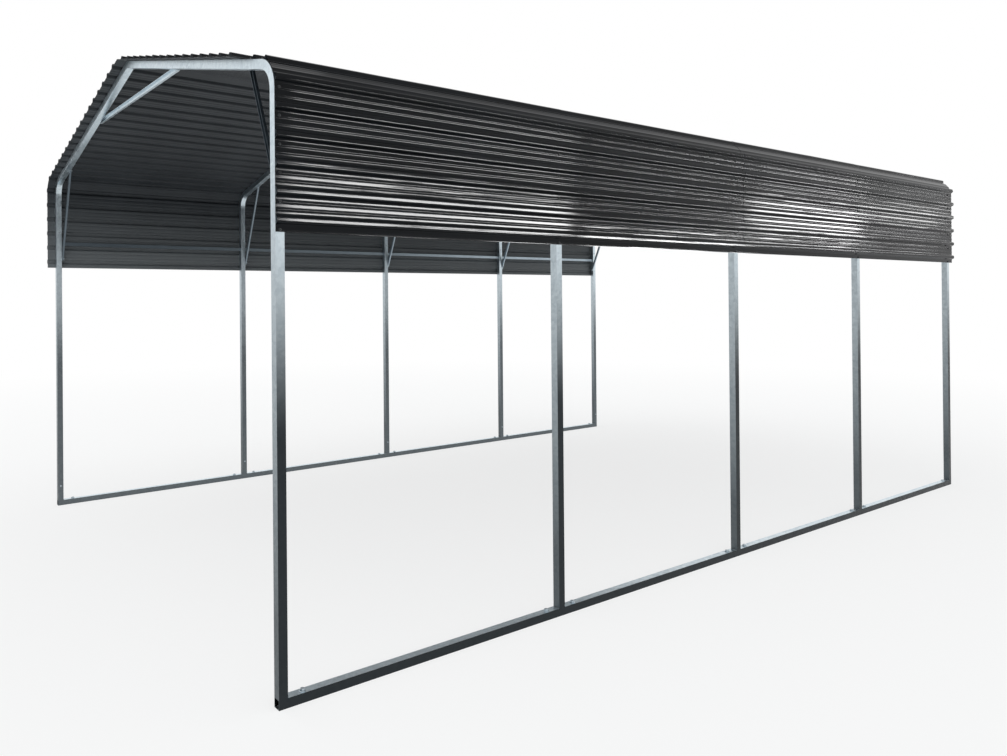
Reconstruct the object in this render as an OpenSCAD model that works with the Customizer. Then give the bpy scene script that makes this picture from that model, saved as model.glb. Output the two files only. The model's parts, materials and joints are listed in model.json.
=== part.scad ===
// Open carport: five square-tube frames on two base rails, gable roof of ribbed sheet.
// Millimetres, +Z up. Origin on the ground at the middle of the plan.
// +X is the right side, the front opening faces -Y, the length runs along Y.

/* [Plan] */
// Width between the centre lines of the right and left posts
width = 3600; // [3000:50:4200]
// Length of one bay, frame centre to frame centre
bay = 1500; // [1200:50:1800]

/* [Frame] */
// Outside size of the square tube
tube = 38; // [32:1:50]
// Wall of the square tube
wall = 1.6; // [1.2:0.1:2.5]
// Ground to the outer corner where the rafter line meets the post line
eave_h = 2430; // [2200:10:2800]
// Slope of the roof in degrees
slope = 14; // [10:0.5:20]
// Centre-line radius of the eave elbows
bend_r = 115; // [90:1:160]
// Elbow leg, from the eave corner down to the joint with the post
elbow_leg = 340; // [280:5:450]
// Elbow arm, from the eave corner up the rafter to the joint
elbow_arm = 190; // [170:5:300]
// Upright stub on the base rail below each post
stub_h = 62; // [40:1:120]
// Length of the inner sleeves that the tubes slip over
sleeve = 100; // [60:5:150]
// Slip clearance of the sleeves on each side
slip = 0.3; // [0.2:0.1:0.6]
// Length of the welded plug that holds a sleeve in an elbow end
plug = 20; // [10:1:40]

/* [Bracing] */
// Half length of the collar tie where it passes under the rafters
tie_half = 580; // [450:10:800]
// Knee brace reach along the roof, from the post centre
brace_run = 255; // [220:5:330]
// Knee brace foot, below the eave corner
brace_drop = 350; // [300:5:420]
// Width of the knee brace channel
brace_w = 28; // [20:1:30]
// Depth of the knee brace channel
brace_d = 14; // [10:1:20]
// Knee brace ends past the tube centre lines
brace_end = 10; // [6:1:12]
// Tie ends held back from the top of the rafters
tie_back = 3; // [1:1:8]
// Outside size of the side girt tube
girt = 25; // [20:1:30]
// Girt centre above the bottom edge of the skirt
girt_up = 180; // [150:5:240]

/* [Roof sheets] */
// Drop of the skirt below the eave corner
skirt = 645; // [550:5:700]
// Distance between ribs
rib_pitch = 107; // [100:1:115]
// Height of a rib
rib_h = 16; // [10:1:22]
// Width of a rib at its foot
rib_foot = 36; // [30:1:44]
// Width of a rib at its crest
rib_top = 20; // [12:1:26]
// Bottom edge of the skirt to the first rib
rib_first = 27; // [15:1:40]
// Sheet thickness
sheet_t = 0.8; // [0.5:0.1:1.2]
// Play under the sheets and between lapped sheets
nest = 0.1; // [0.05:0.05:0.3]
// How much tighter the sheet turns at the eave than the elbow
bend_ease = 12; // [6:1:20]
// Sheet edge past its last rib
sheet_edge = 5; // [3:1:12]
// Plain strip kept each side of the ridge fold
ridge_flat = 60; // [40:1:100]
// Length of the end laps
lap = 100; // [60:5:150]
// Seam behind the frame centre
seam = 80; // [50:5:120]
// How far the sheets stand out past the end frame
hang = 55; // [20:5:90]

/* [Anchors] */
// Anchor hole radius in the base rails
anchor_r = 6.5; // [5:0.5:9]
// Anchor hole distance from the post centre
anchor_off = 90; // [60:5:150]

/* [Hidden] */
$fn = 48;
bays = 4;
length = bays * bay;
half = tube / 2;
face_x = width / 2 + half;
tn = tan(slope);
cs = cos(slope);
sn = sin(slope);
turn = 90 - slope;
ridge_z = eave_h + tn * face_x;
out_r = bend_r + half;
bend_t = out_r * tan(turn / 2);
joint_z = eave_h - elbow_leg;
post_z = tube + stub_h;
hole = tube - 2 * wall;
spig = hole - 2 * slip;
skirt_z = eave_h - skirt;
front = -length / 2 - half;
back = length / 2 + half;
// sheet path measured up from the bottom edge: skirt, eave bend, roof slope
sheet_r = out_r - bend_ease;
sheet_tan = sheet_r * tan(turn / 2);
bend_len = sheet_r * turn * PI / 180;
d1 = skirt - sheet_tan;
d2 = d1 + bend_len;
d3 = d2 + face_x / cs - sheet_tan;
rib_side = (rib_foot - rib_top) / 2;
presses = 10;
eave_ribs = 9;
edge_1 = rib_first + (eave_ribs - 1) * rib_pitch + rib_foot + sheet_edge;
// the slope above the eave row is shared out so that both rows grow and shrink with the width
roof_share = 0.615;
roof_ribs = round(roof_share * (d3 - edge_1) / rib_pitch);
edge_2 = edge_1 + roof_ribs * rib_pitch;
ridge_ribs = floor((d3 - edge_2 - ridge_flat) / rib_pitch);
steel = "lightsteelblue";
coat = [0.16, 0.17, 0.19];

// Shared helpers

function frame_y(i) = -length / 2 + (i - 1) * bay;

// lay a drawing of the X-Z plane across Y, from y0 to y1
module across(y0, y1) {
  translate([0, y1, 0]) rotate([90, 0, 0]) linear_extrude(y1 - y0) children();
}

module side(right) {
  if (right) children(); else mirror([1, 0, 0]) children();
}

module ring(outer, inner) {
  difference() {
    square(outer, center = true);
    square(inner, center = true);
  }
}

// upright square tube from z0 to z1
module upright(z0, z1, outer, inner) {
  translate([0, 0, z0]) linear_extrude(z1 - z0) ring(outer, inner);
}

// point on the sheet path at distance d, h out from the frame
function sheet_pt(d, h) =
  d <= d1 ? [face_x + h, skirt_z + d]
  : d <= d2 ? let (t = (d - d1) / sheet_r * 180 / PI)
      [face_x - sheet_r + (sheet_r + h) * cos(t), eave_h - sheet_tan + (sheet_r + h) * sin(t)]
  : let (e = d - d2)
      [face_x - sheet_r + (sheet_r + h) * sn - e * cs,
       eave_h - sheet_tan + (sheet_r + h) * cs + e * sn];

// distances along a run of n ribs from d0, with close steps round the eave bend
function cuts(a, b) = (b < d1 || a > d2) ? 1 : max(1, ceil((b - a) / 10));
function steps(a, b, ha, hb) =
  [for (i = [0 : cuts(a, b) - 1]) [a + (b - a) * i / cuts(a, b), ha + (hb - ha) * i / cuts(a, b)]];
function rib_run(d0, n) = [for (k = [0 : n - 1]) let (a = d0 + k * rib_pitch) each concat(
  steps(a, a + rib_side, 0, rib_h),
  steps(a + rib_side, a + rib_side + rib_top, rib_h, rib_h),
  steps(a + rib_side + rib_top, a + rib_foot, rib_h, 0),
  steps(a + rib_foot, a + rib_pitch, 0, 0))];
function trim(run, lo, hi) = concat(
  [[lo, 0]], [for (q = run) if (q[0] > lo + 0.01 && q[0] < hi - 0.01) q], [[hi, 0]]);
function eave_run() = trim(rib_run(rib_first, eave_ribs), 0, edge_1);
function roof_run() = trim(rib_run(edge_1 - sheet_edge - rib_foot + rib_pitch, roof_ribs),
  edge_1, edge_2);
function ridge_run() =
  let (r = rib_run(edge_2 - sheet_edge - rib_foot + rib_pitch, ridge_ribs))
  concat([[edge_2, 0]], [for (q = r) if (q[0] > edge_2 + 0.01 && q[0] < d3 - ridge_flat / 2) q]);
function rev(v) = [for (i = [len(v) - 1 : -1 : 0]) v[i]];
function flip(v) = [for (p = v) [-p[0], p[1]]];

// closed outline of a sheet run lifted by lev
function outline(run, lev) = concat(
  [for (q = run) sheet_pt(q[0], q[1] + lev)],
  rev([for (q = run) sheet_pt(q[0], q[1] + lev + sheet_t)]));
function ridge_line(lev) =
  let (r = [for (q = ridge_run()) sheet_pt(q[0], q[1] + lev)])
  concat(r, [[0, ridge_z + lev / cs]], rev(flip(r)));

// front and rear end of the sheet in bay b; odd bays lie on top of even bays
function sheet_y0(b, flush) =
  b == 1 ? front - (flush ? 0 : hang)
  : frame_y(b) + seam - (b % 2 == 0 ? lap : 0);
function sheet_y1(b, flush) =
  b == bays ? back + (flush ? hang : 0)
  : frame_y(b + 1) + seam + (b % 2 == 0 ? lap : 0);
function level(b) = nest + (b % 2 == 0 ? 0 : sheet_t + nest);

// Sub-parts

// ground rail with upright stubs, inner sleeves and anchor holes
module base_rail(right) {
  color(steel) side(right) translate([width / 2, 0, 0]) difference() {
    union() {
      difference() {
        translate([-half, front, 0]) cube([tube, back - front, tube]);
        translate([-hole / 2, front - 1, wall]) cube([hole, back - front + 2, hole]);
      }
      for (i = [1 : bays + 1]) translate([0, frame_y(i), 0]) {
        upright(tube, post_z, tube, spig - 2 * wall);
        upright(post_z, post_z + sleeve, spig, spig - 2 * wall);
      }
    }
    for (i = [1 : bays]) for (y = [frame_y(i) + anchor_off, frame_y(i + 1) - anchor_off])
      translate([0, y, -1]) cylinder(r = anchor_r, h = tube + 2);
  }
}

module post(right, i) {
  color(steel) side(right) translate([width / 2, frame_y(i), 0]) upright(post_z, joint_z, tube, hole);
}

// one eave elbow: leg, pressed bend and arm, hollow, with an inner sleeve at each end
module elbow() {
  difference() {
    union() {
      across(-half, half) elbow_shape(0, 0);
      across(-spig / 2, spig / 2) sleeve_shapes(spig / 2, -plug / 2, sleeve);
    }
    across(-hole / 2, hole / 2) elbow_shape(wall, plug);
    across(-spig / 2 + wall, spig / 2 - wall) sleeve_shapes(spig / 2 - wall, -plug - half, sleeve + half);
  }
}

// centre of the bend, and a point at radius r and angle t about it, run on along the turned end
bend_c = [face_x - out_r, eave_h - bend_t];
function arc_pt(r, t, run = 0) = bend_c + r * [cos(t), sin(t)] + run * [-sin(t), cos(t)];

// side outline of the elbow, inset by edge and with its ends held back by short
module elbow_shape(edge, short) {
  ro = out_r - edge;
  ri = out_r - tube + edge;
  leg = elbow_leg - bend_t - short;
  arm = elbow_arm - bend_t - short;
  turns = [for (i = [0 : presses]) turn * i / presses];
  polygon(concat(
    [arc_pt(ro, 0, -leg)], [for (t = turns) arc_pt(ro, t)], [arc_pt(ro, turn, arm)],
    [arc_pt(ri, turn, arm)], [for (t = rev(turns)) arc_pt(ri, t)], [arc_pt(ri, 0, -leg)]));
}

// side outlines of the two sleeves, from a to b past the joints, w to each side
module sleeve_shapes(w, a, b) {
  leg = elbow_leg - bend_t;
  arm = elbow_arm - bend_t;
  polygon([arc_pt(bend_r - w, 0, -leg - a), arc_pt(bend_r + w, 0, -leg - a),
    arc_pt(bend_r + w, 0, -leg - b), arc_pt(bend_r - w, 0, -leg - b)]);
  polygon([arc_pt(bend_r - w, turn, arm + a), arc_pt(bend_r + w, turn, arm + a),
    arc_pt(bend_r + w, turn, arm + b), arc_pt(bend_r - w, turn, arm + b)]);
}

module elbows(right) {
  color(steel) side(right) for (i = [1 : bays + 1]) translate([0, frame_y(i), 0]) elbow();
}

// outline of a rafter pair: drop is the depth below the roof line, over lengthens the ends
module bow_shape(top, bottom, over) {
  x_end = face_x - (elbow_arm - over) * cs;
  z_end = eave_h + (elbow_arm - over) * sn;
  r = [
    [x_end - top * sn, z_end - top * cs],
    [0, ridge_z - top / cs]
  ];
  s = [
    [0, ridge_z - bottom / cs],
    [x_end - bottom * sn, z_end - bottom * cs]
  ];
  polygon(concat(r, [[-r[0][0], r[0][1]]], [[-s[1][0], s[1][1]]], s));
}

module roof_bow(i) {
  color(steel) translate([0, frame_y(i), 0]) difference() {
    across(-half, half) bow_shape(0, tube, 0);
    across(-hole / 2, hole / 2) bow_shape(wall, tube - wall, half);
  }
}

// ties and braces lie on the inner face of each frame
function inner_y(i, depth) = i == bays + 1 ? frame_y(i) - half - depth : frame_y(i) + half;

module collar_ties() {
  top_z = eave_h + tn * (face_x - tie_half) - tube / cs;
  color(steel) for (i = [1 : bays + 1]) translate([0, inner_y(i, tube), 0]) difference() {
    across(0, tube) tie_shape(top_z - tube, top_z, tie_back);
    across(wall, tube - wall) tie_shape(top_z - tube + wall, top_z - wall, -tube);
  }
}

// flat bar between the rafters with ends cut to the roof slope
module tie_shape(z0, z1, short) {
  x0 = face_x - (z0 + short - eave_h) / tn;
  x1 = face_x - (z1 + short - eave_h) / tn;
  polygon([[-x0, z0], [x0, z0], [x1, z1], [-x1, z1]]);
}

// channel from the rafter down to the post, open side towards the frame
module knee_braces(right) {
  a = [width / 2 - brace_run, eave_h + tn * (face_x - width / 2 + brace_run) - half / cs];
  b = [width / 2, eave_h - brace_drop];
  v = b - a;
  l = norm(v) + 2 * brace_end;
  ang = atan2(-v[1], v[0]);
  color(steel) side(right) for (i = [1 : bays + 1]) {
    last = i == bays + 1;
    translate([a[0], inner_y(i, brace_d), a[1]]) rotate([0, ang, 0]) 
      translate([-brace_end, 0, -brace_w / 2])
      difference() {
        cube([l, brace_d, brace_w]);
        translate([-1, last ? wall : -1, wall])
          cube([l + 2, brace_d - wall + 1, brace_w - 2 * wall]);
      }
  }
}

// light rails between the posts behind the skirt
module side_girts(right) {
  color(steel) side(right) for (i = [1 : bays])
    translate([face_x - girt / 2, frame_y(i) + half, skirt_z + girt_up]) rotate([-90, 0, 0])
      linear_extrude(bay - tube) ring(girt, girt - 2 * wall);
}

module eave_sheet(right, b) {
  color(coat) side(right) across(sheet_y0(b, right), sheet_y1(b, right))
    polygon(outline(eave_run(), level(b)));
}

module roof_sheet(right, b) {
  color(coat) side(right) across(sheet_y0(b, false), sheet_y1(b, false))
    polygon(outline(roof_run(), level(b)));
}

module ridge_sheet(b) {
  color(coat) across(sheet_y0(b, false), sheet_y1(b, false))
    polygon(concat(ridge_line(level(b)), rev(ridge_line(level(b) + sheet_t))));
}

base_rail(true);  // base_rail_right
base_rail(false);  // base_rail_left
post(true, 1);  // post_right_1
post(true, 2);  // post_right_2
post(true, 3);  // post_right_3
post(true, 4);  // post_right_4
post(true, 5);  // post_right_5
post(false, 1);  // post_left_1
post(false, 2);  // post_left_2
post(false, 3);  // post_left_3
post(false, 4);  // post_left_4
post(false, 5);  // post_left_5
elbows(true);  // elbows_right
elbows(false);  // elbows_left
roof_bow(1);  // roof_bow_1
roof_bow(2);  // roof_bow_2
roof_bow(3);  // roof_bow_3
roof_bow(4);  // roof_bow_4
roof_bow(5);  // roof_bow_5
collar_ties();
knee_braces(true);  // knee_braces_right
knee_braces(false);  // knee_braces_left
side_girts(true);  // side_girts_right
side_girts(false);  // side_girts_left
eave_sheet(true, 1);  // eave_sheet_right_1
eave_sheet(true, 2);  // eave_sheet_right_2
eave_sheet(true, 3);  // eave_sheet_right_3
eave_sheet(true, 4);  // eave_sheet_right_4
roof_sheet(true, 1);  // roof_sheet_right_1
roof_sheet(true, 2);  // roof_sheet_right_2
roof_sheet(true, 3);  // roof_sheet_right_3
roof_sheet(true, 4);  // roof_sheet_right_4
ridge_sheet(1);  // ridge_sheet_1
ridge_sheet(2);  // ridge_sheet_2
ridge_sheet(3);  // ridge_sheet_3
ridge_sheet(4);  // ridge_sheet_4
roof_sheet(false, 1);  // roof_sheet_left_1
roof_sheet(false, 2);  // roof_sheet_left_2
roof_sheet(false, 3);  // roof_sheet_left_3
roof_sheet(false, 4);  // roof_sheet_left_4
eave_sheet(false, 1);  // eave_sheet_left_1
eave_sheet(false, 2);  // eave_sheet_left_2
eave_sheet(false, 3);  // eave_sheet_left_3
eave_sheet(false, 4);  // eave_sheet_left_4
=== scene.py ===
"""Looks of an open carport: ribbed sheet roof on five square-tube frames and two base rails."""
import json
import math

import bmesh
import bpy
import numpy as np
from bpy.props import FloatProperty, FloatVectorProperty, IntProperty, PointerProperty
from mathutils import Matrix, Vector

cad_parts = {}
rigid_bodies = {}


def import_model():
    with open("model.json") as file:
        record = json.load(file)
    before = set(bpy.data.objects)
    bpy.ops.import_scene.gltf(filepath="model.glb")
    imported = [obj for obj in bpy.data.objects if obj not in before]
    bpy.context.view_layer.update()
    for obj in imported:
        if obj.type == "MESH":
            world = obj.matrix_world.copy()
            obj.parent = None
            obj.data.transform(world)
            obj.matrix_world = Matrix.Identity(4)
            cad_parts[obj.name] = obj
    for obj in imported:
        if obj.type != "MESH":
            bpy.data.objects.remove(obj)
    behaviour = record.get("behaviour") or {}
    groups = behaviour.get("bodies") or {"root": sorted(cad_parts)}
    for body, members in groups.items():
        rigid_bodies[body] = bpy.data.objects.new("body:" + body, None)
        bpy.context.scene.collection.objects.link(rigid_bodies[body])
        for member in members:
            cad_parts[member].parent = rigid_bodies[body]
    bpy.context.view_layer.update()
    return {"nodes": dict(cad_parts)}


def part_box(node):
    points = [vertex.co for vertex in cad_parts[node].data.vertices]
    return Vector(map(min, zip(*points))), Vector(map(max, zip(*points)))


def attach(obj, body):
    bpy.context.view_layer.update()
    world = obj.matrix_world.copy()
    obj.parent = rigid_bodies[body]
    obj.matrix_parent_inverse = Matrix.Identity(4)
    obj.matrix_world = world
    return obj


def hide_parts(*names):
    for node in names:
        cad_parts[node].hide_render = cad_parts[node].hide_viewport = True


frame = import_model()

bl_info = {
    "name": "Open carport",
    "version": (1, 0, 0),
    "blender": (4, 5, 0),
    "location": "3D View > Sidebar > Carport",
    "description": "Dresses the carport's frame with ribbed sheets, fixings, finishes and a stage",
    "category": "Object",
}

MM = 0.001
BAYS = 4
FRAMES = BAYS + 1
POST_LOW, POST_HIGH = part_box("post_right_1")
POST_X = (POST_LOW.x + POST_HIGH.x) / 2
TUBE = POST_HIGH.x - POST_LOW.x
FRAME_Y = np.array([sum(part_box(f"post_right_{i + 1}")[j].y for j in (0, 1)) / 2 for i in range(FRAMES)])
RAIL_TOP = TUBE
STUB_TOP = POST_LOW.z
LEG_JOINT = POST_HIGH.z
FACE_X = POST_HIGH.x
INWARD = np.where(np.arange(FRAMES) == FRAMES - 1, -1, 1)
SKIRT_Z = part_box("eave_sheet_right_1")[0].z
IMAGE_W, IMAGE_H = 1007, 756
TUBE_FINISH = "galvanised_steel_tube_hot_dipped"
STRIP_FINISH = "galvanised_steel_strip_roll_formed"
# Radius and height of the flange, then of the hexagon
SHEET_SCREW_HEAD = (7.2 * MM, 1.6 * MM), (4.2 * MM, 6 * MM)
ANCHOR_HEAD = (14 * MM, 2.5 * MM), (8.8 * MM, 10 * MM)
BAR_BOLT_HEAD = (8 * MM, 1.6 * MM), (5 * MM, 6 * MM)
SLEEVE_SCREW_HEAD = (6.5 * MM, 1.4 * MM), (4 * MM, 5.5 * MM)
# Height of the top of the screwed sheet on each frame line, in sheet layers
SCREW_LAYERS = np.array([2, 2, 1, 2, 1])
SLEEVE_SCREW_OFFSET = 45 * MM
WELD_LEG = 4 * MM
WELD_SHORT = 3 * MM
FLOOR_HALF = 60
FLOOR_DROP = 0.5 * MM


def linear(code):
    """sRGB hex colour as linear red, green and blue."""
    parts = [int(code[i:i + 2], 16) / 255 for i in (1, 3, 5)]
    return tuple(p / 12.92 if p <= 0.04045 else ((p + 0.055) / 1.055) ** 2.4 for p in parts)


def size(name, about, millimetres):
    """A length of the carport that a user would change, given in millimetres."""
    return FloatProperty(name=name, description=about, default=millimetres * MM, unit="LENGTH",
                         subtype="DISTANCE", precision=4)


def colour(name, about, code):
    """A colour of the carport that a user would change, given as sRGB hex."""
    return FloatVectorProperty(name=name, description=about, default=linear(code), size=3,
                               subtype="COLOR", min=0, max=1)


class CarportSizes(bpy.types.PropertyGroup):
    """Sizes of the sheets and fixings."""
    eave_height: size("Eave height", "Ground to the corner of rafter line and post line", 2430)
    slope: FloatProperty(name="Roof slope", description="Slope of the roof", subtype="ANGLE",
                         default=math.radians(14))
    eave_radius: size("Eave radius", "Radius of the sheets round the eave", 122)
    rib_pitch: size("Rib pitch", "Distance between ribs", 107)
    rib_height: size("Rib height", "Height of a rib", 16)
    rib_foot: size("Rib foot", "Width of a rib at its foot", 36)
    rib_top: size("Rib top", "Width of a rib at its crest", 20)
    rib_first: size("First rib", "Bottom edge of the skirt to the first rib", 27)
    rib_corner: size("Rib corner", "Half width over which a rib's corners are rounded", 2.5)
    bead_height: size("Bead height", "Height of the two stiffening beads in each pan", 1.6)
    bead_width: size("Bead width", "Width of a stiffening bead", 11)
    sheet_edge: size("Sheet edge", "Sheet past its last rib", 5)
    thickness: size("Sheet thickness", "Thickness of the sheet", 0.8)
    play: size("Play", "Play under the sheets and between lapped sheets", 0.1)
    ripple: size("Pan ripple", "Depth of the shallow waves in the flat pans", 0.9)
    ridge_round: size("Ridge rounding", "Rounding of the fold along the ridge", 2)
    eave_ribs: IntProperty(name="Eave ribs", description="Ribs on an eave sheet", default=9)
    roof_ribs: IntProperty(name="Roof ribs", description="Ribs on a roof sheet", default=9)
    ridge_ribs: IntProperty(name="Ridge ribs", description="Ribs each side of the ridge", default=5)
    screw_below: size("Screw offset", "Roof screw below the foot of its rib", 19)
    anchor_offset: size("Anchor offset", "Anchor bolt from the post centre", 90)
    brace_run: size("Brace run", "Upper brace bolt, in from the post centre", 272)
    brace_drop: size("Brace drop", "Lower brace bolt below the eave corner", 575)
    brace_width: size("Brace width", "Width of the brace channel", 20)
    tie_reach: size("Tie reach", "Tie bolt out from the middle of the roof", 690)
    tie_width: size("Tie width", "Width of the tie channel", 27)
    bar_depth: size("Bar depth", "Depth of the brace and tie channels", 13)
    bar_wall: size("Bar wall", "Wall of the brace and tie channels", 1.6)
    bar_end: size("Bar end", "Brace and tie channels past their bolts", 12)


class CarportColours(bpy.types.PropertyGroup):
    """Colours of the finishes."""
    topcoat: colour("Topcoat", "Outside of the sheets", "#0D0F12")
    topcoat_dust: colour("Topcoat dust", "Thin dust on the outside of the sheets", "#191C20")
    backcoat: colour("Backcoat", "Underside of the sheets", "#373B3F")
    backcoat_dull: colour("Backcoat stains", "Duller patches on the underside", "#2A2E32")
    # Painted light: the underside of the sheets pales towards this colour low down, standing in for light
    # from the floor.
    backcoat_painted_floor_light: colour("Backcoat dust", "Dust low down on the underside", "#74787A")
    zinc: colour("Zinc", "Bright spangle on the tubes", "#DCE8EE")
    zinc_grey: colour("Grey zinc", "Duller spangle on the tubes", "#BCCAD3")
    # Painted shade: the light bars are this dark colour at the front, brightening to grey zinc towards the
    # rear.
    strip_painted_shade: colour("Dull strip", "Dulled zinc on the light bars", "#566068")
    # Painted shade: the tubes darken towards this colour low down; the weld beads also use it for their
    # dark flecks.
    splash: colour("Splash", "Zinc darkened by ground splash", "#1E2225")
    plating: colour("Plating", "Zinc plate on bolts and screws", "#B9C0C4")
    weld: colour("Weld", "Weld beads under cold zinc spray", "#8E9598")
    floor: colour("Floor", "Studio floor", "#F4F4F3")


# Shapes

def grid_faces(across, along, closed=True):
    """Quads of a grid whose rows of points follow each other, with each row joined to itself if closed."""
    i = np.arange(across if closed else across - 1)
    j = np.arange(along - 1)[:, None] * across
    k = (i + 1) % across
    return np.stack([j + i, j + k, j + across + k, j + across + i], -1).reshape(-1, 4)


def put_piece(context, name, points, faces, materials, face_slot=None, sharp=55):
    """Make a mesh piece at the origin from arrays of points and quads, normals outwards, and ride it."""
    mesh = bpy.data.meshes.new(name)
    mesh.from_pydata(points.reshape(-1, 3).tolist(), [], faces.tolist())
    for material in materials:
        mesh.materials.append(material)
    if face_slot is not None:
        mesh.polygons.foreach_set("material_index", np.ascontiguousarray(face_slot, np.int32))
    shell = bmesh.new()
    shell.from_mesh(mesh)
    bmesh.ops.recalc_face_normals(shell, faces=shell.faces)
    shell.to_mesh(mesh)
    shell.free()
    mesh.shade_smooth()
    mesh.set_sharp_from_angle(angle=math.radians(sharp))
    if mesh.validate():
        raise RuntimeError(f"{name} has faces that aren't sound")
    piece = bpy.data.objects.new(name, mesh)
    context.scene.collection.objects.link(piece)
    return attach(piece, "root")


def path_lengths(s):
    """Distances up the sheet path to the start and end of the eave bend and to the ridge."""
    turn = math.pi / 2 - s.slope
    reach = s.eave_radius * math.tan(turn / 2)
    start = s.eave_height - reach - SKIRT_Z
    end = start + s.eave_radius * turn
    return start, end, end + FACE_X / math.cos(s.slope) - reach


def sheet_point(s, d, h):
    """Point at distance d up the sheet path and h out from the frame: a straight skirt, then an arc whose
    angle is the distance past its start over its radius, then a straight slope. Gives x, z and the
    angle."""
    start, end, _ = path_lengths(s)
    angle = np.clip((d - start) / s.eave_radius, 0, math.pi / 2 - s.slope)
    up = np.minimum(d, start) - start
    run = np.maximum(d - end, 0)
    radius = s.eave_radius + h
    centre_z = SKIRT_Z + start
    x = FACE_X - s.eave_radius + radius * np.cos(angle) - run * math.cos(s.slope)
    z = centre_z + radius * np.sin(angle) + up + run * math.sin(s.slope)
    return x, z, angle


def rib_count(s):
    """Ribs from the bottom of the skirt to the ridge."""
    return s.eave_ribs + s.roof_ribs + s.ridge_ribs


def rib_profile(s, d):
    """Height of the pressed sheet at distance d: trapezoid ribs whose corners are rounded by taking the
    mean of nine shifted copies, and two low parabolic beads in the pan after each rib."""
    shift = np.linspace(-1, 1, 9) * s.rib_corner
    near = d[..., None] - s.rib_first + shift
    local = np.mod(near, s.rib_pitch)
    number = np.floor(near / s.rib_pitch)
    flank = (s.rib_foot - s.rib_top) / 2
    rib = np.clip(np.minimum(local, s.rib_foot - local) / flank, 0, 1) * s.rib_height
    rib = np.where((number >= 0) & (number < rib_count(s)), rib, 0).mean(-1)
    pan = s.rib_pitch - s.rib_foot
    here = np.mod(d - s.rib_first, s.rib_pitch)[..., None]
    middle = s.rib_foot + pan * np.array([0.3, 0.7])
    bead = np.clip(1 - ((here - middle) / (s.bead_width / 2)) ** 2, 0, 1).sum(-1) * s.bead_height
    last = s.rib_first + (rib_count(s) - 1) * s.rib_pitch + s.rib_foot
    return rib + np.where((d > s.rib_first) & (d < last), bead, 0)


def rib_stations(s, low, high):
    """Distances up the path from low to high: close steps over ribs and beads, wider ones between them."""
    step = np.array([-3, -1, 1, 3, 5, 7, 9, 11, 14, 18, 22, 25, 27, 29, 31, 33, 35, 37, 39,
                     44, 48, 51, 54, 57, 60, 63, 67, 72, 76, 80, 83, 86, 89, 92, 97, 101]) * MM
    every = (s.rib_first + np.arange(rib_count(s))[:, None] * s.rib_pitch + step).ravel()
    inside = every[(every > low + 0.5 * MM) & (every < high - 0.5 * MM)]
    return np.concatenate([[low], inside, [high]])


def pan_ripple(s, d, y, phase):
    """Shallow outward waves of thin sheet between its fixings: two crossed sines, raised so that they never
    dip below the sheet and faded out at each frame line."""
    wave = np.sin(2 * math.pi * (y / 0.47 + phase)) * np.sin(2 * math.pi * (d / 0.39 + 2.3 * phase))
    wave = 0.6 * wave + 0.4 * np.sin(2 * math.pi * (y / 0.83 + d / 0.61 + 1.7 * phase))
    clear = np.prod(1 - np.exp(-((y[..., None] - FRAME_Y) / 0.22) ** 2), axis=-1)
    return 0.5 * (1 + wave) * clear * s.ripple


def lap_lift(s, d, edge):
    """Lift of an upper sheet over the last rib of the sheet below it, let down in a short ramp past the
    edge."""
    ramp = np.clip((edge + s.sheet_edge - d) / s.sheet_edge, 0, 1)
    return ramp * ramp * (3 - 2 * ramp) * (s.thickness + s.play)


def pressed_sheet(s, row, bay, left, ends):
    """One ribbed sheet as a closed wall: the outer surface out and the inner one back round each
    cross-section, carried along Y, with its two cut ends closed. Gives points, quads and 1 for each quad of
    the underside."""
    _, _, ridge = path_lengths(s)
    first = s.rib_first + (s.eave_ribs - 1) * s.rib_pitch + s.rib_foot + s.sheet_edge
    second = first + s.roof_ribs * s.rib_pitch
    overlap = s.rib_foot + 2 * s.sheet_edge
    low, high, edge = {"eave": (0, first, None), "roof": (first - overlap, second, first),
                       "ridge": (second - overlap, ridge, second)}[row]
    level = s.play + (0 if bay % 2 == 0 else s.thickness + s.play)
    d = rib_stations(s, low, high)[None, :]
    y = np.linspace(ends[0], ends[1], 19)[:, None]
    h = rib_profile(s, d) + level + pan_ripple(s, d, y + 0 * d, 0.37 * bay + (0.21 if left else 0))
    if edge is not None:
        h = h + lap_lift(s, d, edge)
    walls = []
    for lift in (s.thickness, 0):
        x, z, _ = sheet_point(s, d + 0 * h, h + lift)
        if row == "ridge":
            top = z + x * math.tan(s.slope)
            z = top - math.tan(s.slope) * (np.sqrt(x * x + s.ridge_round ** 2) - s.ridge_round)
            x, z = np.hstack([x, -x[:, -2::-1]]), np.hstack([z, z[:, -2::-1]])
        walls.append(np.stack([-x if left else x, y + 0 * x, z], -1))
    across = walls[0].shape[1]
    points = np.concatenate([walls[0], walls[1][:, ::-1]], axis=1)
    ring = 2 * across
    sides = grid_faces(ring, len(y))
    i = np.arange(across - 1)
    cap = np.stack([i, i + 1, ring - 2 - i, ring - 1 - i], -1)
    faces = np.concatenate([sides, cap, cap[:, ::-1] + (len(y) - 1) * ring])
    around = np.tile(np.arange(ring), len(y) - 1)
    under = np.concatenate([(around >= across) & (around < ring - 1), np.zeros(2 * len(cap), bool)])
    return points, faces, under


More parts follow.
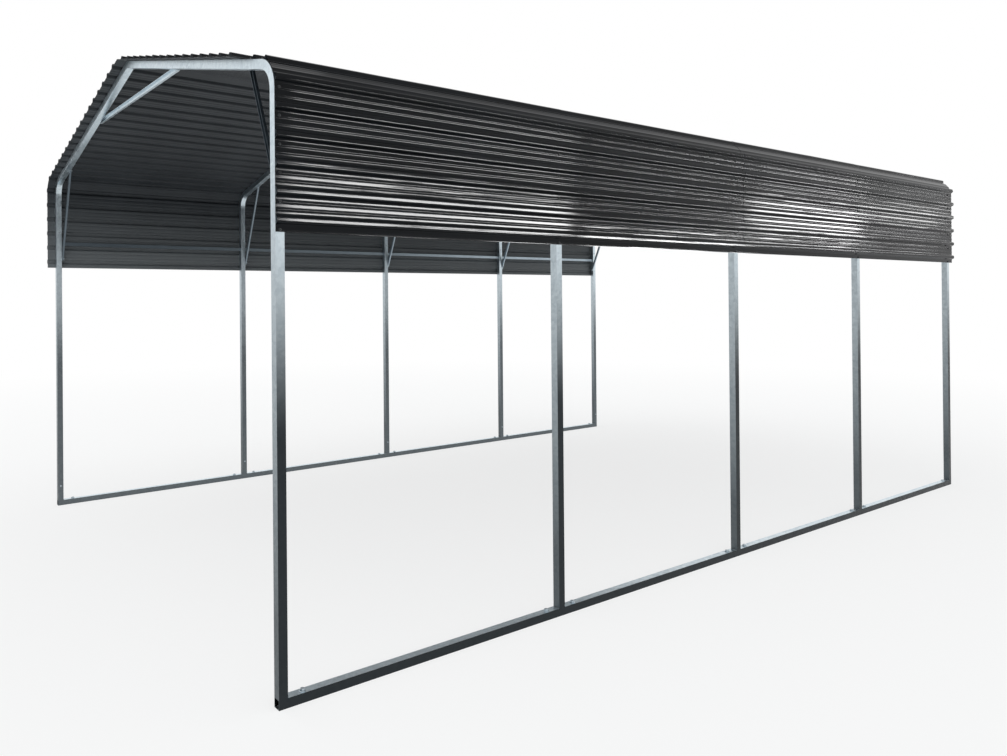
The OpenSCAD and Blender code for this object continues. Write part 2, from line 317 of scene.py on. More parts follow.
def turned_heads(seats, axes, washer, hexagon, segments=12):
    """Hexagon heads with a flange: a profile of radius and height turned round each axis, whose upper rings
    follow a hexagon, radius over the cosine of the angle from the nearest flat. Sizes are (radius,
    height)."""
    angle = np.arange(segments) * 2 * math.pi / segments
    flat = np.mod(angle + math.pi / 6, math.pi / 3) - math.pi / 6
    hexed = 1 / np.cos(flat)
    rings = [(washer[0] * 0.97, -0.3 * MM, 0), (washer[0], 0.55 * washer[1], 0),
             (washer[0] * 0.9, washer[1], 0), (hexagon[0], washer[1], 1),
             (hexagon[0], 0.86 * hexagon[1], 1), (hexagon[0] * 0.86, hexagon[1], 0.5),
             (hexagon[0] * 0.02, hexagon[1], 0)]
    radius = np.array([r * (1 + w * (hexed - 1)) for r, _, w in rings])
    height = np.array([h for _, h, _ in rings])[:, None] + 0 * radius
    axes = np.asarray(axes, float)
    spare = np.where(np.abs(axes[:, 1:2]) > 0.9, [[1.0, 0, 0]], [[0, 1.0, 0]])
    side = np.cross(axes, spare)
    side /= np.linalg.norm(side, axis=1, keepdims=True)
    other = np.cross(axes, side)
    points = (np.asarray(seats, float)[:, None, None] + height[None, ..., None] * axes[:, None, None]
              + (radius * np.cos(angle))[None, ..., None] * side[:, None, None]
              + (radius * np.sin(angle))[None, ..., None] * other[:, None, None])
    one = grid_faces(segments, len(rings))
    lid = np.array([[0, 1, 2, 3], [0, 3, 4, 5], [0, 5, 6, 7], [0, 7, 8, 9], [0, 9, 10, 11]])
    top = (len(rings) - 1) * segments
    one = np.concatenate([one, lid[:, ::-1], lid + top])
    count = len(rings) * segments
    faces = (one[None] + (np.arange(len(seats)) * count)[:, None, None]).reshape(-1, 4)
    return points, faces


def channel_bars(s, starts, stops, ways, width):
    """Straight channels with their open side to the frame: a U of eight corners, its depth along Y, carried
    from past each start to past each stop, with both ends closed by the U's three strips."""
    a, b = np.asarray(starts, float), np.asarray(stops, float)
    along = (b - a) / np.linalg.norm(b - a, axis=1, keepdims=True)
    across = np.stack([-along[:, 2], 0 * along[:, 0], along[:, 0]], -1)
    half, deep, wall = width / 2, s.bar_depth, s.bar_wall
    u = np.array([-half, -half, half, half, half - wall, half - wall, wall - half, wall - half])
    v = np.array([0, deep, deep, 0, 0, deep - wall, deep - wall, 0])
    ends = np.stack([a - along * s.bar_end, b + along * s.bar_end], 1)
    inward = np.stack([0 * ways, ways, 0 * ways], -1).astype(float)
    points = (ends[:, :, None] + u[None, None, :, None] * across[:, None, None]
              + v[None, None, :, None] * inward[:, None, None])
    strips = np.array([[0, 1, 6, 7], [1, 2, 5, 6], [2, 3, 4, 5]])
    one = np.concatenate([grid_faces(8, 2), strips[:, ::-1], strips + 8])
    return points, (one[None] + (np.arange(len(a)) * 16)[:, None, None]).reshape(-1, 4)


def brace_and_tie_marks(s):
    """Bolt places in X and Z: the upper and lower end of a brace, and the end of a tie."""
    x = POST_X - s.brace_run
    z = s.eave_height + math.tan(s.slope) * (FACE_X - x) - TUBE / 2 / math.cos(s.slope)
    tie_z = sum(v.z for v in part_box("collar_ties")) / 2
    return (x, z), (POST_X - TUBE / 4, s.eave_height - s.brace_drop), (s.tie_reach, tie_z)


def weld_beads(middles, width, leg):
    """Fillet beads along X: circles about each seat line whose radius falls to nothing at the ends as the
    root of one minus the sixth power, with fine ripples along the run."""
    u = np.linspace(-1, 1, 25)
    angle = np.arange(8) * math.pi / 4
    radius = leg * (np.sqrt(np.clip(1 - u ** 6, 0.003, 1)) + 0.09 * np.sin(u * 26) * (1 - u ** 4))
    ring = np.stack([u[:, None] * width / 2 + 0 * angle, radius[:, None] * np.cos(angle),
                     radius[:, None] * np.sin(angle)], -1)
    points = np.asarray(middles, float)[:, None, None] + ring[None]
    lid = np.array([[0, 1, 2, 3], [0, 3, 4, 5], [0, 5, 6, 7]])
    one = np.concatenate([grid_faces(8, len(u)), lid[:, ::-1], lid + (len(u) - 1) * 8])
    faces = (one[None] + (np.arange(len(middles)) * len(u) * 8)[:, None, None]).reshape(-1, 4)
    return points, faces


# Finishes

def add(tree, kind, inputs=None, **settings):
    """Add one shader node with its settings, and fill or link its inputs by socket name or number."""
    made = tree.nodes.new(kind)
    for key, value in settings.items():
        setattr(made, key, value)
    for key, value in (inputs or {}).items():
        if isinstance(value, bpy.types.NodeSocket):
            tree.links.new(value, made.inputs[key])
        else:
            made.inputs[key].default_value = value
    return made


def new_finish(name):
    """An empty node material; gives the material, its tree and its output node."""
    finish = bpy.data.materials.new(name)
    finish.use_nodes = True
    finish.node_tree.nodes.clear()
    return finish, finish.node_tree, add(finish.node_tree, "ShaderNodeOutputMaterial")


def shared(name, make, colours):
    """The finish of that name, made the first time it is asked for."""
    return bpy.data.materials.get(name) or make(colours)


def rgba(value):
    """A linear colour with full alpha."""
    return (*value, 1.0)


def galvanised_steel_tube(c):
    # Cold-formed steel tube, hot-dip galvanised: bluish bright zinc with a leafy spangle of about 14 mm.
    # Its
    # colour also holds painted shade: it darkens towards the ground, most on the side faces and the end
    # faces, and a little on every face that doesn't look up.
    finish, tree, out = new_finish(TUBE_FINISH)
    where = add(tree, "ShaderNodeTexCoord")
    place = add(tree, "ShaderNodeSeparateXYZ", {"Vector": where.outputs["Object"]})
    facing = add(tree, "ShaderNodeSeparateXYZ", {"Vector": where.outputs["Normal"]})
    spangle = add(tree, "ShaderNodeTexVoronoi", {"Vector": where.outputs["Object"], "Scale": 1 / (14 * MM)})
    leaf = add(tree, "ShaderNodeSeparateColor", {"Color": spangle.outputs["Color"]})
    cloud = add(tree, "ShaderNodeTexNoise", {"Vector": where.outputs["Object"], "Scale": 1 / 0.26,
                                             "Detail": 4.0})
    tone = add(tree, "ShaderNodeMath", {0: leaf.outputs[0], 1: cloud.outputs["Fac"]}, operation="MULTIPLY")
    zinc = add(tree, "ShaderNodeMix", {0: tone.outputs[0], 6: rgba(c.zinc), 7: rgba(c.zinc_grey)},
               data_type="RGBA")
    # Painted shade: side faces darken towards the ground, a little more on the right of the carport.
    low = add(tree, "ShaderNodeMapRange", {"Value": place.outputs["Z"], "From Min": 1.95, "From Max": 0.98},
              interpolation_type="SMOOTHSTEP")
    sideways = add(tree, "ShaderNodeMath", {0: facing.outputs["X"]}, operation="ABSOLUTE")
    outer = add(tree, "ShaderNodeMapRange", {"Value": place.outputs["X"], "From Min": -1.0, "From Max": 1.0,
                                             "To Min": 0.82, "To Max": 0.97})
    painted_side_shade = add(tree, "ShaderNodeMath", {0: low.outputs[0], 1: sideways.outputs[0]}, operation="MULTIPLY")
    painted_side_shade = add(tree, "ShaderNodeMath", {0: painted_side_shade.outputs[0], 1: outer.outputs[0]}, operation="MULTIPLY")
    # Painted shade: faces that don't look up darken a little towards the ground.
    foot = add(tree, "ShaderNodeMapRange", {"Value": place.outputs["Z"], "From Min": 1.5, "From Max": 0.05,
                                            "To Min": 0.0, "To Max": 0.30})
    above = add(tree, "ShaderNodeMath", {0: 1.0, 1: facing.outputs["Z"]}, operation="SUBTRACT",
                use_clamp=True)
    painted_low_shade = add(tree, "ShaderNodeMath", {0: foot.outputs[0], 1: above.outputs[0]}, operation="MULTIPLY")
    painted_tube_shade = add(tree, "ShaderNodeMath", {0: painted_side_shade.outputs[0], 1: painted_low_shade.outputs[0]}, operation="MAXIMUM")
    # Painted shade: end faces darken towards the ground.
    lengthwise = add(tree, "ShaderNodeMath", {0: facing.outputs["Y"]}, operation="ABSOLUTE")
    fall = add(tree, "ShaderNodeMapRange", {"Value": place.outputs["Z"], "From Min": 2.3, "From Max": 0.3,
                                            "To Min": 0.0, "To Max": 0.85})
    ends = add(tree, "ShaderNodeMath", {0: fall.outputs[0], 1: lengthwise.outputs[0]}, operation="MULTIPLY")
    painted_tube_shade = add(tree, "ShaderNodeMath", {0: painted_tube_shade.outputs[0], 1: ends.outputs[0]}, operation="MAXIMUM")
    # The painted shade mixes the zinc towards the dark colour.
    skin = add(tree, "ShaderNodeMix", {0: painted_tube_shade.outputs[0], 6: zinc.outputs[2], 7: rgba(c.splash)},
               data_type="RGBA")
    rough = add(tree, "ShaderNodeMapRange", {"Value": leaf.outputs[1], "To Min": 0.30, "To Max": 0.46})
    leafy = add(tree, "ShaderNodeBump", {"Height": leaf.outputs[2], "Strength": 0.06, "Distance": 0.3 * MM})
    shader = add(tree, "ShaderNodeBsdfPrincipled", {"Base Color": skin.outputs[2], "Metallic": 1.0,
                                                    "Roughness": rough.outputs[0],
                                                    "Normal": leafy.outputs[0]})
    tree.links.new(shader.outputs[0], out.inputs["Surface"])
    return finish


def galvanised_steel_strip(c):
    # Slit galvanised strip, roll-formed to light bars: dark grey zinc at the front that brightens towards
    # the rear, a painted shade and reflection along the carport, with small spangle and cloudy oxide.
    finish, tree, out = new_finish(STRIP_FINISH)
    where = add(tree, "ShaderNodeTexCoord")
    place = add(tree, "ShaderNodeSeparateXYZ", {"Vector": where.outputs["Object"]})
    oxide = add(tree, "ShaderNodeTexNoise", {"Vector": where.outputs["Object"], "Scale": 1 / 0.12,
                                             "Detail": 4.0})
    leaf = add(tree, "ShaderNodeTexVoronoi", {"Vector": where.outputs["Object"], "Scale": 1 / (8 * MM)})
    tint = add(tree, "ShaderNodeSeparateColor", {"Color": leaf.outputs["Color"]})
    # Painted shade and reflection: the bars darken towards the front and brighten towards the rear.
    painted_rear_brightening = add(tree, "ShaderNodeMapRange", {"Value": place.outputs["Y"], "From Min": -2.6, "From Max": 1.0,
                                           "To Min": 0.10, "To Max": 0.85})
    cloudy = add(tree, "ShaderNodeMapRange", {"Value": oxide.outputs["Fac"], "To Min": 0.7, "To Max": 1.2})
    share = add(tree, "ShaderNodeMath", {0: painted_rear_brightening.outputs[0], 1: cloudy.outputs[0]}, operation="MULTIPLY",
                use_clamp=True)
    skin = add(tree, "ShaderNodeMix", {0: share.outputs[0], 6: rgba(c.strip_painted_shade), 7: rgba(c.zinc_grey)},
               data_type="RGBA")
    rough = add(tree, "ShaderNodeMapRange", {"Value": tint.outputs[0], "To Min": 0.34, "To Max": 0.52})
    shader = add(tree, "ShaderNodeBsdfPrincipled", {"Base Color": skin.outputs[2], "Metallic": 1.0,
                                                    "Roughness": rough.outputs[0]})
    tree.links.new(shader.outputs[0], out.inputs["Surface"])
    return finish


def prepainted_sheet_topcoat(c):
    # Coil-coated steel, roll-formed: a smooth near-black polyester coat with a satin gloss, so that soft
    # light breaks into long streaks, under a thin uneven film of dust that lies in runs along the sheet.
    finish, tree, out = new_finish("prepainted_steel_topcoat_coil_coated")
    where = add(tree, "ShaderNodeTexCoord")
    runs = add(tree, "ShaderNodeMapping", {"Vector": where.outputs["Object"], "Scale": (9.0, 1.1, 9.0)})
    film = add(tree, "ShaderNodeTexNoise", {"Vector": runs.outputs[0], "Scale": 1.0, "Detail": 5.0,
                                            "Roughness": 0.6})
    dust = add(tree, "ShaderNodeMapRange", {"Value": film.outputs["Fac"], "From Min": 0.42,
                                            "From Max": 0.78})
    skin = add(tree, "ShaderNodeMix", {0: dust.outputs[0], 6: rgba(c.topcoat), 7: rgba(c.topcoat_dust)},
               data_type="RGBA")
    rough = add(tree, "ShaderNodeMapRange", {"Value": film.outputs["Fac"], "From Min": 0.3,
                                             "From Max": 0.75, "To Min": 0.06, "To Max": 0.13})
    # Roll forming leaves shallow waves about 20 mm wide and over half a metre long.
    wave = add(tree, "ShaderNodeMapping", {"Vector": where.outputs["Object"],
                                           "Scale": (1 / 0.02, 1 / 0.6, 1 / 0.02)})
    drawn = add(tree, "ShaderNodeTexNoise", {"Vector": wave.outputs[0], "Scale": 1.0, "Detail": 2.0})
    skim = add(tree, "ShaderNodeBump", {"Height": drawn.outputs["Fac"], "Strength": 1.0,
                                        "Distance": 0.5 * MM})
    shader = add(tree, "ShaderNodeBsdfPrincipled", {
        "Base Color": skin.outputs[2], "Roughness": rough.outputs[0], "Specular IOR Level": 0.10,
        "Normal": skim.outputs[0]})
    tree.links.new(shader.outputs[0], out.inputs["Surface"])
    return finish


def prepainted_sheet_backcoat(c):
    # The thin epoxy backing coat of coil-coated steel: a flat mid grey with a low sheen, duller in patches
    # where moisture has hung, with faint roller lines along the sheet, and paler low down, a painted light
    # from the floor.
    finish, tree, out = new_finish("prepainted_steel_backcoat_coil_coated")
    where = add(tree, "ShaderNodeTexCoord")
    cloud = add(tree, "ShaderNodeTexNoise", {"Vector": where.outputs["Object"], "Scale": 1 / 0.35,
                                             "Detail": 5.0})
    lines = add(tree, "ShaderNodeMapping", {"Vector": where.outputs["Object"], "Scale": (60.0, 1.5, 60.0)})
    roller = add(tree, "ShaderNodeTexNoise", {"Vector": lines.outputs[0], "Scale": 1.0, "Detail": 3.0})
    both = add(tree, "ShaderNodeMath", {0: cloud.outputs["Fac"], 1: roller.outputs["Fac"]},
               operation="MULTIPLY")
    patch = add(tree, "ShaderNodeMapRange", {"Value": both.outputs[0], "From Min": 0.14, "From Max": 0.38})
    skin = add(tree, "ShaderNodeMix", {0: patch.outputs[0], 6: rgba(c.backcoat_dull), 7: rgba(c.backcoat)},
               data_type="RGBA")
    place = add(tree, "ShaderNodeSeparateXYZ", {"Vector": where.outputs["Object"]})
    # Painted light: the underside grows paler towards the bottom, standing in for light from the floor.
    low = add(tree, "ShaderNodeMapRange", {"Value": place.outputs["Z"], "From Min": 2.35, "From Max": 1.80,
                                           "To Max": 0.9})
    skin = add(tree, "ShaderNodeMix", {0: low.outputs[0], 6: skin.outputs[2], 7: rgba(c.backcoat_painted_floor_light)},
               data_type="RGBA")
    rough = add(tree, "ShaderNodeMapRange", {"Value": roller.outputs["Fac"], "To Min": 0.42,
                                             "To Max": 0.62})
    shader = add(tree, "ShaderNodeBsdfPrincipled", {
        "Base Color": skin.outputs[2], "Roughness": rough.outputs[0], "Specular IOR Level": 0.3})
    tree.links.new(shader.outputs[0], out.inputs["Surface"])
    return finish


def plated_steel(c):
    # Cold-headed steel with electroplated zinc: bright, even grey with faint tool marks and a dulling film.
    finish, tree, out = new_finish("zinc_plated_steel_cold_headed")
    where = add(tree, "ShaderNodeTexCoord")
    film = add(tree, "ShaderNodeTexNoise", {"Vector": where.outputs["Object"], "Scale": 1 / (6 * MM),
                                            "Detail": 3.0})
    skin = add(tree, "ShaderNodeMix", {0: film.outputs["Fac"], 6: rgba(c.plating), 7: rgba(c.zinc_grey)},
               data_type="RGBA")
    rough = add(tree, "ShaderNodeMapRange", {"Value": film.outputs["Fac"], "To Min": 0.28, "To Max": 0.48})
    shader = add(tree, "ShaderNodeBsdfPrincipled", {"Base Color": skin.outputs[2], "Metallic": 1.0,
                                                    "Roughness": rough.outputs[0]})
    tree.links.new(shader.outputs[0], out.inputs["Surface"])
    return finish


def painted_screw_head(c):
    # Plated screw with a baked powder coat on its head: the sheet's own black, a little rougher, worn grey
    # in spots.
    finish, tree, out = new_finish("powder_coated_screw_head")
    where = add(tree, "ShaderNodeTexCoord")
    wear = add(tree, "ShaderNodeTexNoise", {"Vector": where.outputs["Object"], "Scale": 1 / (5 * MM),
                                            "Detail": 3.0})
    worn = add(tree, "ShaderNodeMapRange", {"Value": wear.outputs["Fac"], "From Min": 0.55,
                                            "From Max": 0.8})
    skin = add(tree, "ShaderNodeMix", {0: worn.outputs[0], 6: rgba(c.topcoat), 7: rgba(c.weld)},
               data_type="RGBA")
    rough = add(tree, "ShaderNodeMapRange", {"Value": wear.outputs["Fac"], "To Min": 0.3, "To Max": 0.5})
    shader = add(tree, "ShaderNodeBsdfPrincipled",
                 {"Base Color": skin.outputs[2], "Roughness": rough.outputs[0]})
    tree.links.new(shader.outputs[0], out.inputs["Surface"])
    return finish


def sprayed_weld(c):
    # Arc-welded steel touched up with cold zinc spray: a matt grey over a rippled bead, with darker flecks.
    finish, tree, out = new_finish("arc_weld_cold_zinc_sprayed")
    where = add(tree, "ShaderNodeTexCoord")
    fleck = add(tree, "ShaderNodeTexNoise", {"Vector": where.outputs["Object"], "Scale": 1 / (3 * MM),
                                             "Detail": 4.0})
    skin = add(tree, "ShaderNodeMix", {0: fleck.outputs["Fac"], 6: rgba(c.weld), 7: rgba(c.splash)},
               data_type="RGBA")
    rough = add(tree, "ShaderNodeMapRange", {"Value": fleck.outputs["Fac"], "To Min": 0.5, "To Max": 0.75})
    shader = add(tree, "ShaderNodeBsdfPrincipled", {"Base Color": skin.outputs[2], "Metallic": 0.6,
                                                    "Roughness": rough.outputs[0]})
    tree.links.new(shader.outputs[0], out.inputs["Surface"])
    return finish


# Operators

class CARPORT_OT_tube_frame(bpy.types.Operator):
    """Give the posts, rails, elbows, roof bows and girts their galvanised finish"""
    bl_idname = "carport.tube_frame"
    bl_label = "Tube frame"

    def execute(self, context):
        finish = shared(TUBE_FINISH, galvanised_steel_tube, context.scene.carport_colours)
        tubes = [node for name, node in frame["nodes"].items() if "sheet" not in name]
        if not tubes:
            raise RuntimeError("the frame has no tubes")
        light_bars = shared(STRIP_FINISH, galvanised_steel_strip, context.scene.carport_colours)
        for node in tubes:
            chosen = light_bars if "girt" in node.name else finish
            if not node.material_slots:
                node.data.materials.append(chosen)
            for held in node.material_slots:
                held.material = chosen
        return {"FINISHED"}


class CARPORT_OT_braces_and_ties(bpy.types.Operator):
    """Fit the knee braces and the collar ties as thin channels on the inner face of each frame"""
    bl_idname = "carport.braces_and_ties"
    bl_label = "Braces and ties"

    def execute(self, context):
        sizes, colours = context.scene.carport_sizes, context.scene.carport_colours
        top, foot, tie = brace_and_tie_marks(sizes)
        seat = FRAME_Y + INWARD * TUBE / 2

        def line(x, z):
            return np.stack([0 * seat + x, seat, 0 * seat + z], -1)
        dark = shared(STRIP_FINISH, galvanised_steel_strip, colours)
        bright = shared(TUBE_FINISH, galvanised_steel_tube, colours)
        for hand, sign in (("right", 1), ("left", -1)):
            points, faces = channel_bars(sizes, line(sign * top[0], top[1]), line(sign * foot[0], foot[1]),
                                         INWARD, sizes.brace_width)
            piece = put_piece(context, f"knee_brace_bars_{hand}", points, faces, [dark], sharp=30)
            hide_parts(f"knee_braces_{hand}")
        points, faces = channel_bars(sizes, line(-tie[0], tie[1]), line(tie[0], tie[1]), INWARD,
                                     sizes.tie_width)
        piece = put_piece(context, "collar_tie_bars", points, faces, [bright], sharp=30)
        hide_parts("collar_ties")
        return {"FINISHED"}


class CARPORT_OT_roof_sheets(bpy.types.Operator):
    """Press the eave, roof and ridge sheets of all four bays"""
    bl_idname = "carport.roof_sheets"
    bl_label = "Roof sheets"

    def execute(self, context):
        sizes, colours = context.scene.carport_sizes, context.scene.carport_colours
        coats = [prepainted_sheet_topcoat(colours), prepainted_sheet_backcoat(colours)]
        rows = [("eave", "_right"), ("roof", "_right"), ("ridge", ""), ("roof", "_left"), ("eave", "_left")]
        for row, hand in rows:
            for bay in range(1, BAYS + 1):
                node = f"{row}_sheet{hand}_{bay}"
                low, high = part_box(node)
                points, faces, under = pressed_sheet(sizes, row, bay, hand == "_left", (low.y, high.y))
                piece = put_piece(context, f"{row}_panel{hand}_{bay}", points, faces, coats, under)
                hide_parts(node)
        return {"FINISHED"}


class CARPORT_OT_sheet_screws(bpy.types.Operator):
    """Drive a washer-head screw beside each rib on every frame line"""
    bl_idname = "carport.sheet_screws"
    bl_label = "Sheet screws"

    def execute(self, context):
        sizes = context.scene.carport_sizes
        finish = painted_screw_head(context.scene.carport_colours)
        start, end, _ = path_lengths(sizes)
        d = sizes.rib_first + np.arange(rib_count(sizes)) * sizes.rib_pitch - sizes.screw_below
        d = d[(d < start) | (d > end)]
        single = sizes.play + sizes.thickness
        top = SCREW_LAYERS * single
        x, z, angle = sheet_point(sizes, d[None] + 0 * top[:, None], top[:, None] + 0 * d[None])
        y = FRAME_Y[:, None] + 0 * x
        for hand, sign in (("right", 1), ("left", -1)):
            seats = np.stack([sign * x, y, z], -1).reshape(-1, 3)
            axes = np.stack([sign * np.cos(angle), 0 * angle, np.sin(angle)], -1).reshape(-1, 3)
            points, faces = turned_heads(seats, axes, *SHEET_SCREW_HEAD)
            piece = put_piece(context, f"sheet_screws_{hand}", points, faces, [finish], sharp=40)
        return {"FINISHED"}


class CARPORT_OT_frame_bolts(bpy.types.Operator):
    """Set the anchor bolts on the base rails and the bolts that hold ties and braces"""
    bl_idname = "carport.frame_bolts"
    bl_label = "Frame bolts"

    def execute(self, context):
        sizes = context.scene.carport_sizes
        finish = plated_steel(context.scene.carport_colours)
        near, far = FRAME_Y[:-1] + sizes.anchor_offset, FRAME_Y[1:] - sizes.anchor_offset
        y = np.concatenate([near, far])
        seats = [(sign * POST_X, along, RAIL_TOP) for sign in (1, -1) for along in y]
        points, faces = turned_heads(seats, [(0, 0, 1)] * len(seats), *ANCHOR_HEAD)
        put_piece(context, "anchor_bolts", points, faces, [finish], sharp=40)
        seats, axes = [], []
        for sign in (1, -1):
            for x, z in brace_and_tie_marks(sizes):
                for along, way in zip(FRAME_Y, INWARD):
                    seats.append((sign * x, along + way * (TUBE / 2 + sizes.bar_depth), z))
                    axes.append((0, way, 0))
        points, faces = turned_heads(seats, axes, *BAR_BOLT_HEAD)
        put_piece(context, "brace_and_tie_bolts", points, faces, [finish], sharp=40)
        seats, axes = [], []
        for sign in (1, -1):
            for z in (STUB_TOP + SLEEVE_SCREW_OFFSET, LEG_JOINT - SLEEVE_SCREW_OFFSET):
                for along in FRAME_Y:
                    seats.append((sign * (POST_X - TUBE / 2), along, z))
                    axes.append((-sign, 0, 0))
        points, faces = turned_heads(seats, axes, *SLEEVE_SCREW_HEAD)
        put_piece(context, "sleeve_screws", points, faces, [finish], sharp=40)
        return {"FINISHED"}


class CARPORT_OT_weld_beads(bpy.types.Operator):
    """Lay the weld beads at the feet of the upright stubs"""
    bl_idname = "carport.weld_beads"
    bl_label = "Weld beads"

    def execute(self, context):
        finish = sprayed_weld(context.scene.carport_colours)
        middles = [(sign * POST_X, along + way * TUBE / 2, RAIL_TOP)
                   for sign in (1, -1) for along in FRAME_Y for way in (1, -1)
                   if abs(along + way * TUBE / 2) < FRAME_Y[-1] + 1 * MM]
        points, faces = weld_beads(middles, TUBE - WELD_SHORT, WELD_LEG)
        put_piece(context, "stub_welds", points, faces, [finish])
        return {"FINISHED"}


class CARPORT_OT_stage(bpy.types.Operator):
    """Set the pale floor, the white surroundings, the soft lamps and the camera"""
    bl_idname = "carport.stage"
    bl_label = "Stage"

    def execute(self, context):
        scene = context.scene
        colours = scene.carport_colours
        scene.view_settings.view_transform = "Standard"

        # White to the eye and in reflections, and a softer level for the light that falls on the carport.
        world = bpy.data.worlds.new("studio_surroundings")
        world.use_nodes = True
        tree = world.node_tree
        tree.nodes.clear()
        seen = self.seen(tree)
        fill = add(tree, "ShaderNodeBackground", {"Color": (0.95, 0.98, 1.0, 1.0), "Strength": 0.85})
        white = add(tree, "ShaderNodeBackground", {"Color": (1.0, 1.0, 1.0, 1.0), "Strength": 1.0})
        both = add(tree, "ShaderNodeMixShader", {0: seen, 1: fill.outputs[0], 2: white.outputs[0]})
        add(tree, "ShaderNodeOutputWorld", {"Surface": both.outputs[0]})
        scene.world = world

        finish, tree, out = new_finish("studio_floor_paper")
        where = add(tree, "ShaderNodeTexCoord")
        tooth = add(tree, "ShaderNodeTexNoise", {"Vector": where.outputs["Object"], "Scale": 1 / (30 * MM)})
        rough = add(tree, "ShaderNodeMapRange", {"Value": tooth.outputs["Fac"], "To Min": 0.8,
                                                 "To Max": 1.0})
        paper = add(tree, "ShaderNodeBsdfDiffuse",
                    {"Color": rgba(colours.floor), "Roughness": rough.outputs[0]})
        glow = add(tree, "ShaderNodeEmission", {"Color": (1.0, 1.0, 1.0, 1.0), "Strength": 1.0})
        distance = add(tree, "ShaderNodeVectorMath", {0: where.outputs["Object"]}, operation="LENGTH")
        fade = add(tree, "ShaderNodeMapRange", {"Value": distance.outputs["Value"], "From Min": 4.0,
                                                "From Max": 14.0, "To Min": 0.72, "To Max": 1.0},
                   interpolation_type="SMOOTHSTEP")
        share = add(tree, "ShaderNodeMath", {0: self.seen(tree), 1: fade.outputs[0]}, operation="MULTIPLY")
        mixed = add(tree, "ShaderNodeMixShader",
                    {0: share.outputs[0], 1: paper.outputs[0], 2: glow.outputs[0]})
        tree.links.new(mixed.outputs[0], out.inputs["Surface"])
        ground = np.linspace(-FLOOR_HALF, FLOOR_HALF, 13)
        x, y = np.meshgrid(ground, ground)
        mesh = bpy.data.meshes.new("studio_floor")
        mesh.from_pydata(np.stack([x, y, 0 * x - FLOOR_DROP], -1).reshape(-1, 3).tolist(), [],
                         grid_faces(len(ground), len(ground), closed=False).tolist())
        mesh.materials.append(finish)
        floor = bpy.data.objects.new("studio_floor", mesh)
        scene.collection.objects.link(floor)

        # name, middle, aim, width along the floor, height, radiance
        lamps = [
            ("overhead_softbox", (-1.0, -2.0, 9.0), (0.0, 0.0, 0.0), 9.0, 7.0, 0.9),
            ("right_strip_1", (6.0, 1.2, 2.48), (1.8, 1.2, 2.48), 4.0, 0.46, 80.0),
            ("right_strip_2", (6.0, 5.2, 2.22), (1.8, 5.2, 2.22), 3.6, 0.16, 95.0),
            ("right_strip_3", (6.0, 9.0, 2.76), (1.8, 9.0, 2.76), 3.6, 0.52, 34.0),
            ("right_strip_4", (6.0, 12.8, 3.10), (1.8, 12.8, 3.10), 3.2, 0.34, 12.0),
        ]
        skirt = bpy.data.collections.new("skirt_under_strip_lamps")
        for bay in range(1, BAYS + 1):
            skirt.objects.link(bpy.data.objects[f"eave_panel_right_{bay}"])
        for name, middle, aim, wide, tall, radiance in lamps:
            lamp = bpy.data.lights.new(name, "AREA")
            lamp.shape = "RECTANGLE"
            lamp.size, lamp.size_y = wide, tall
            lamp.energy = radiance * math.pi * wide * tall
            holder = bpy.data.objects.new(name, lamp)
            back = np.array(middle) - np.array(aim)
            back = back / np.linalg.norm(back)
            along = np.cross((0, 0, 1.0), back) if abs(back[2]) < 0.9 else np.array([1.0, 0, 0])
            along = along / np.linalg.norm(along)
            turned = np.stack([along, np.cross(back, along), back], 1)
            holder.matrix_world = Matrix.Translation(middle) @ Matrix(turned.tolist()).to_4x4()
            holder.visible_camera = False
            if "strip" in name:
                # The strips only shine back from the skirt's gloss, so its colour keeps the plain level of
                # light.
                holder.light_linking.receiver_collection = skirt
                holder.visible_diffuse = False
            scene.collection.objects.link(holder)

        # Eye point, heading, tilt and roll in degrees, focal length and optical centre in pixels of the
        # picture.
        eye, heading, tilt, roll = (4.4537, -4.3565, 1.5314), 145.605, 0.170, -0.471
        focal, centre = 786.23, (379.10, 296.47)
        turn, tilt, roll = (math.radians(v) for v in (heading, tilt, roll))
        look = np.array([math.cos(turn) * math.cos(tilt), math.sin(turn) * math.cos(tilt), math.sin(tilt)])
        right = np.array([math.sin(turn), -math.cos(turn), 0])
        up = np.cross(right, look)
        level = np.stack([right, up], 1)
        spin = np.array([[math.cos(roll), -math.sin(roll)], [math.sin(roll), math.cos(roll)]])
        axes = np.column_stack([level @ spin, -look])
        lens = bpy.data.cameras.new("picture_camera")
        lens.sensor_width = 36.0
        lens.lens = focal * lens.sensor_width / IMAGE_W
        lens.shift_x = (IMAGE_W / 2 - centre[0]) / IMAGE_W
        lens.shift_y = (centre[1] - IMAGE_H / 2) / IMAGE_W
        lens.clip_end = 200
        camera = bpy.data.objects.new("picture_camera", lens)
        camera.matrix_world = Matrix.Translation(eye) @ Matrix(axes.tolist()).to_4x4()
        scene.collection.objects.link(camera)
        scene.camera = camera
        return {"FINISHED"}

    def seen(self, tree):
        """One for rays from the eye, reflections and light through glass, nought for the rest."""
        path = add(tree, "ShaderNodeLightPath")
        sharp = add(tree, "ShaderNodeMath",
                    {0: path.outputs["Is Camera Ray"], 1: path.outputs["Is Glossy Ray"]},
                    operation="MAXIMUM")
        every = add(tree, "ShaderNodeMath", {0: sharp.outputs[0], 1: path.outputs["Is Transmission Ray"]},
                    operation="MAXIMUM")
        return every.outputs[0]


class CARPORT_PT_panel(bpy.types.Panel):
    """Sizes, colours and pieces of the carport"""
    bl_idname = "CARPORT_PT_panel"
    bl_label = "Carport"
    bl_space_type = "VIEW_3D"
    bl_region_type = "UI"
    bl_category = "Carport"

    def draw(self, context):
        for operator in OPERATORS:
            self.layout.operator(operator.bl_idname)
        for group in (context.scene.carport_sizes, context.scene.carport_colours):
            box = self.layout.box()
            for key in group.__annotations__:
                box.prop(group, key)


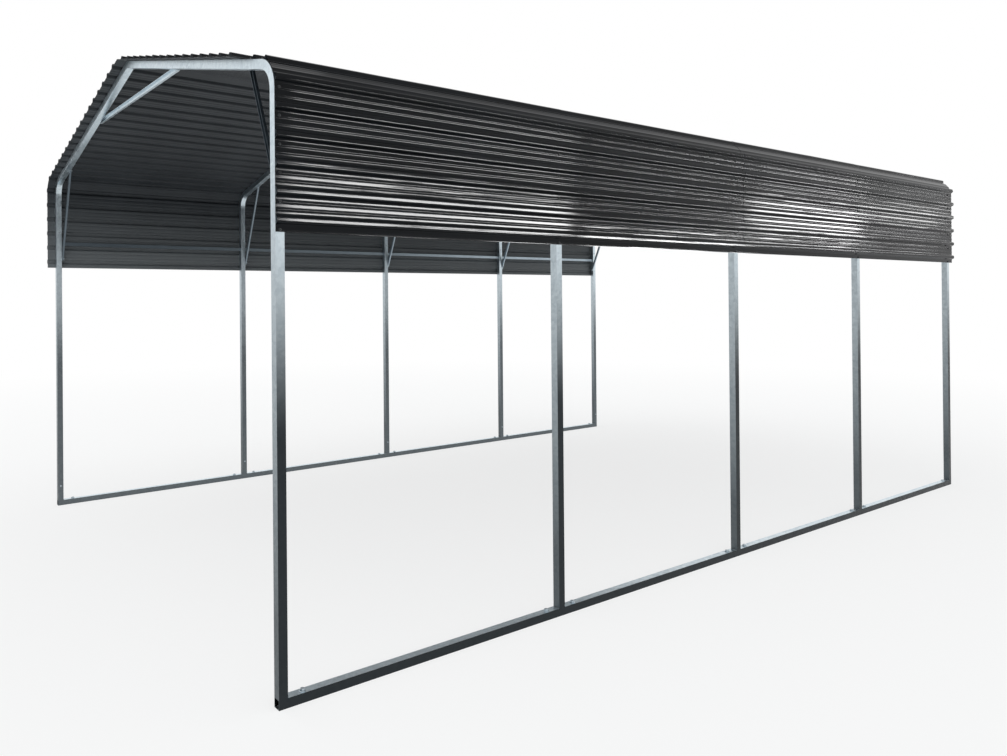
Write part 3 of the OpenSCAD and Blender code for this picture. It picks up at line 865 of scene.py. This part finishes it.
OPERATORS = (CARPORT_OT_tube_frame, CARPORT_OT_braces_and_ties, CARPORT_OT_roof_sheets,
             CARPORT_OT_sheet_screws, CARPORT_OT_frame_bolts, CARPORT_OT_weld_beads, CARPORT_OT_stage)
CLASSES = (CarportSizes, CarportColours, *OPERATORS, CARPORT_PT_panel)


def register():
    for kind in CLASSES:
        bpy.utils.register_class(kind)
    bpy.types.Scene.carport_sizes = PointerProperty(type=CarportSizes)
    bpy.types.Scene.carport_colours = PointerProperty(type=CarportColours)


def unregister():
    del bpy.types.Scene.carport_sizes
    del bpy.types.Scene.carport_colours
    for kind in reversed(CLASSES):
        bpy.utils.unregister_class(kind)


def main():
    register()
    for operator in OPERATORS:
        getattr(bpy.ops.carport, operator.bl_idname.split(".")[1])()


if __name__ == "__main__":
    main()
